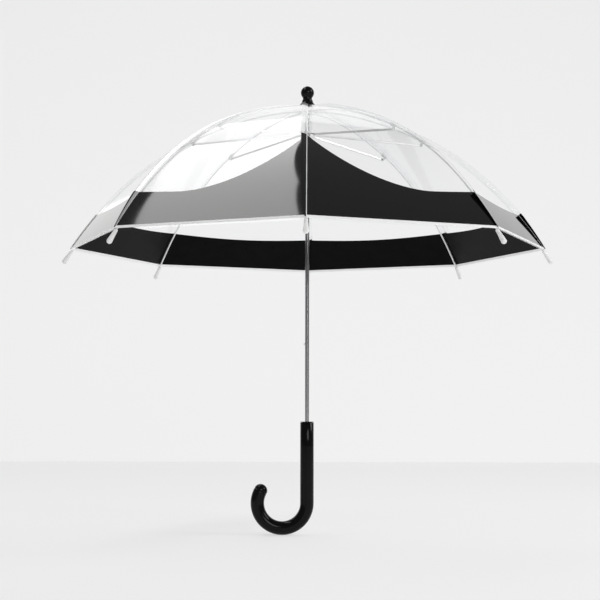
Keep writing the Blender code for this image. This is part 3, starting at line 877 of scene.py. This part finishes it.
GRIP_RADIUS = 0.01015
GRIP_BORE = 0.0075
GRIP_TOP = 0.1674
CROOK_BEND = 0.0371
CROOK_SWEEP = math.radians(209)
CROOK_CENTRE = Vector((-CROOK_BEND, 0.0, GRIP_RADIUS + CROOK_BEND))

SHAFT_BORE = 0.0025
SHAFT_RADIUS = 0.0031
SHAFT_LOW = 0.110
SHAFT_HIGH = 0.655
CATCH_SLOTS = ((0.5844, 0.5912), (0.2832, 0.2900))
SLOT_HALF = 0.0011

FINIAL_BOTTOM = 0.6503
FINIAL_BALL = 0.01015
FINIAL_BALL_Z = 0.6699
FINIAL_TOP = 0.6800


def box_cutter(low, high):
    corners = [(low[0], low[1]), (high[0], low[1]), (high[0], high[1]), (low[0], high[1])]
    return skin("box_cutter", [[(x, y, z) for x, y in corners] for z in (low[2], high[2])])


def build_shaft():
    """The plated tube, with the slots that the two spring catches come through."""
    edge = 0.00015
    profile = [(SHAFT_BORE, SHAFT_LOW), (SHAFT_RADIUS - edge, SHAFT_LOW), (SHAFT_RADIUS, SHAFT_LOW + edge)]
    profile += [(SHAFT_RADIUS, z) for z in np.linspace(SHAFT_LOW + 0.01, SHAFT_HIGH - 0.01, 12)]
    profile += [(SHAFT_RADIUS, SHAFT_HIGH - edge), (SHAFT_RADIUS - edge, SHAFT_HIGH)]
    profile.append((SHAFT_BORE, SHAFT_HIGH))
    tube = turned("shaft", profile, sides=48, loop=True, sharp=50)
    for low, high in CATCH_SLOTS:
        cut(tube, box_cutter((-0.005, -SLOT_HALF, low), (-0.001, SLOT_HALF, high)))
    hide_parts("shaft_tube")
    dress(tube, TUBE_STEEL, "root")


def crook_outward(turn):
    """Away from the bend's centre, at an angle round it from the straight grip."""
    return Vector((math.cos(turn), 0.0, -math.sin(turn)))


def crook_ring(place, turn, radius):
    return circle_at(place, crook_outward(turn), Vector((0.0, 1.0, 0.0)), radius, 40)


def build_crook():
    """The hollow crook, with a small rounding at each end."""
    straight = GRIP_TOP - CROOK_CENTRE.z
    stations = [(Vector((0.0, 0.0, GRIP_TOP - f * straight)), 0.0) for f in (0.0, 0.3, 0.6, 0.85)]
    for n in range(49):
        turn = CROOK_SWEEP * n / 48
        stations.append((CROOK_CENTRE + CROOK_BEND * crook_outward(turn), turn))

    def ahead(turn, distance):
        return Vector((-math.sin(turn), 0.0, -math.cos(turn))) * distance

    (top, _), (end, end_turn) = stations[0], stations[-1]
    edge = 0.0004
    outside = [crook_ring(top, 0.0, GRIP_RADIUS - edge)]
    outside += [crook_ring(top + ahead(0.0, edge), 0.0, GRIP_RADIUS)]
    outside += [crook_ring(place, turn, GRIP_RADIUS) for place, turn in stations[1:-1]]
    outside += [crook_ring(end - ahead(end_turn, edge), end_turn, GRIP_RADIUS)]
    outside += [crook_ring(end, end_turn, GRIP_RADIUS - edge)]
    inside = [crook_ring(place, turn, GRIP_BORE) for place, turn in reversed(stations)]
    crook = skin("crook", outside + inside, closed=True, sharp=50)
    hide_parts("handle_crook")
    dress(crook, BLACK, "root")


def build_collar():
    """The bush round the shaft, with a flange over the grip's end."""
    bottom, floor, outer, bore = 0.1057, 0.10965, 0.00715, 0.0035
    flange = GRIP_TOP + 0.00035
    top = flange + 0.001
    profile = [(0.0, bottom), (outer, bottom), (outer, flange), (GRIP_RADIUS - 0.0003, flange)]
    profile += [(GRIP_RADIUS, flange + 0.0003), (GRIP_RADIUS, flange + 0.0006)]
    profile += [(GRIP_RADIUS - 0.0003, flange + 0.0009), (GRIP_RADIUS - 0.001, top)]
    profile += [(0.0041, top), (0.0036, flange + 0.0008)]
    profile += [(bore, flange), (bore, floor), (0.0, floor)]
    bush = turned("handle_collar", profile, sides=48)
    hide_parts("handle_bush")
    dress(bush, BLACK, "root")


def build_crook_end():
    """The domed plug at the crook's end."""
    gap = 0.00035
    profile = [(0.0, -0.004), (0.0064, -0.004), (0.0068, -0.0036), (0.0068, gap), (GRIP_RADIUS - 0.0004, gap)]
    for degrees in (3, 8, 15, 23, 31, 39, 47, 55, 63, 71, 79, 86):
        a = math.radians(degrees)
        profile.append((GRIP_RADIUS * math.cos(a), 0.00045 + (GRIP_RADIUS - 0.0001) * math.sin(a)))
    profile.append((0.0, gap + GRIP_RADIUS))
    cap = turned("crook_end", profile, sides=40)
    place = CROOK_CENTRE + CROOK_BEND * crook_outward(CROOK_SWEEP)
    cap.data.transform(Matrix.Translation(place) @ Matrix.Rotation(math.pi + CROOK_SWEEP, 4, "Y"))
    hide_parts("handle_end_cap")
    dress(cap, BLACK, "root")


def build_finial():
    """Ball, neck and flared skirt in one moulding."""
    skirt = [(0.0035, 0.0), (0.0108, 0.0), (0.0114, 0.00015), (0.0116, 0.0005), (0.0115, 0.0010)]
    skirt += [(0.0109, 0.0018), (0.0099, 0.0029), (0.0091, 0.0041), (0.0086, 0.0053), (0.0083, 0.0065)]
    skirt += [(0.0082, 0.0072), (0.0081, 0.0076), (0.0077, 0.0079), (0.0073, 0.0081), (0.0071, 0.0086)]
    skirt += [(0.0070, 0.0096), (0.0070, 0.0112), (0.0071, 0.0121)]
    profile = [(0.0, 0.6620), (0.0035, 0.6620)] + [(r, FINIAL_BOTTOM + up) for r, up in skirt]
    for n in range(18):
        a = math.radians(-44 + n * 7.0)
        profile.append((FINIAL_BALL * math.cos(a), FINIAL_BALL_Z + FINIAL_BALL * math.sin(a)))
    profile += [(0.0022, FINIAL_TOP - 0.00015), (0.0019, FINIAL_TOP), (0.0, FINIAL_TOP)]
    finial = turned("finial_ball", profile, sides=64, sharp=32)
    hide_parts("finial")
    dress(finial, BLACK, "root")


def build_washer():
    """The clear washer under the finial, with a scallop for each rib."""
    sides, bore, rim, scallop = 96, 0.0035, 0.0107, 0.0005
    rings = []
    for share, z in ((0.0, 0.6491), (1.0, 0.6491), (1.03, 0.6494), (1.0, 0.6498), (0.0, 0.6499)):
        ring = []
        for n in range(sides):
            a = math.tau * n / sides
            reach = (rim + scallop * math.cos(RIBS * a)) * share if share else bore
            ring.append((reach * math.cos(a), reach * math.sin(a), z))
        rings.append(ring)
    washer = skin("crown_rosette", rings, closed=True, sharp=50)
    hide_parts("crown_washer")
    dress(washer, ROSETTE, "root")


def finish_frame():
    """The CAD nodes that stay in view."""
    refine("top_notch", WHITE, 0.0002)
    refine("runner", WHITE, 0.0003)
    refine("notch_wire", WIRE_STEEL, 0.00008)
    refine("runner_wire", WIRE_STEEL, 0.00008)
    refine("top_catch", FLAT_STEEL, 0.00012)
    refine("bottom_catch", FLAT_STEEL, 0.00012)


add_camera()
add_stage()
add_lights()
bpy.context.scene.view_settings.view_transform = "Standard"
build_canopy()
build_ribs()
build_shaft()
build_crook()
build_collar()
build_crook_end()
build_finial()
build_washer()
finish_frame()
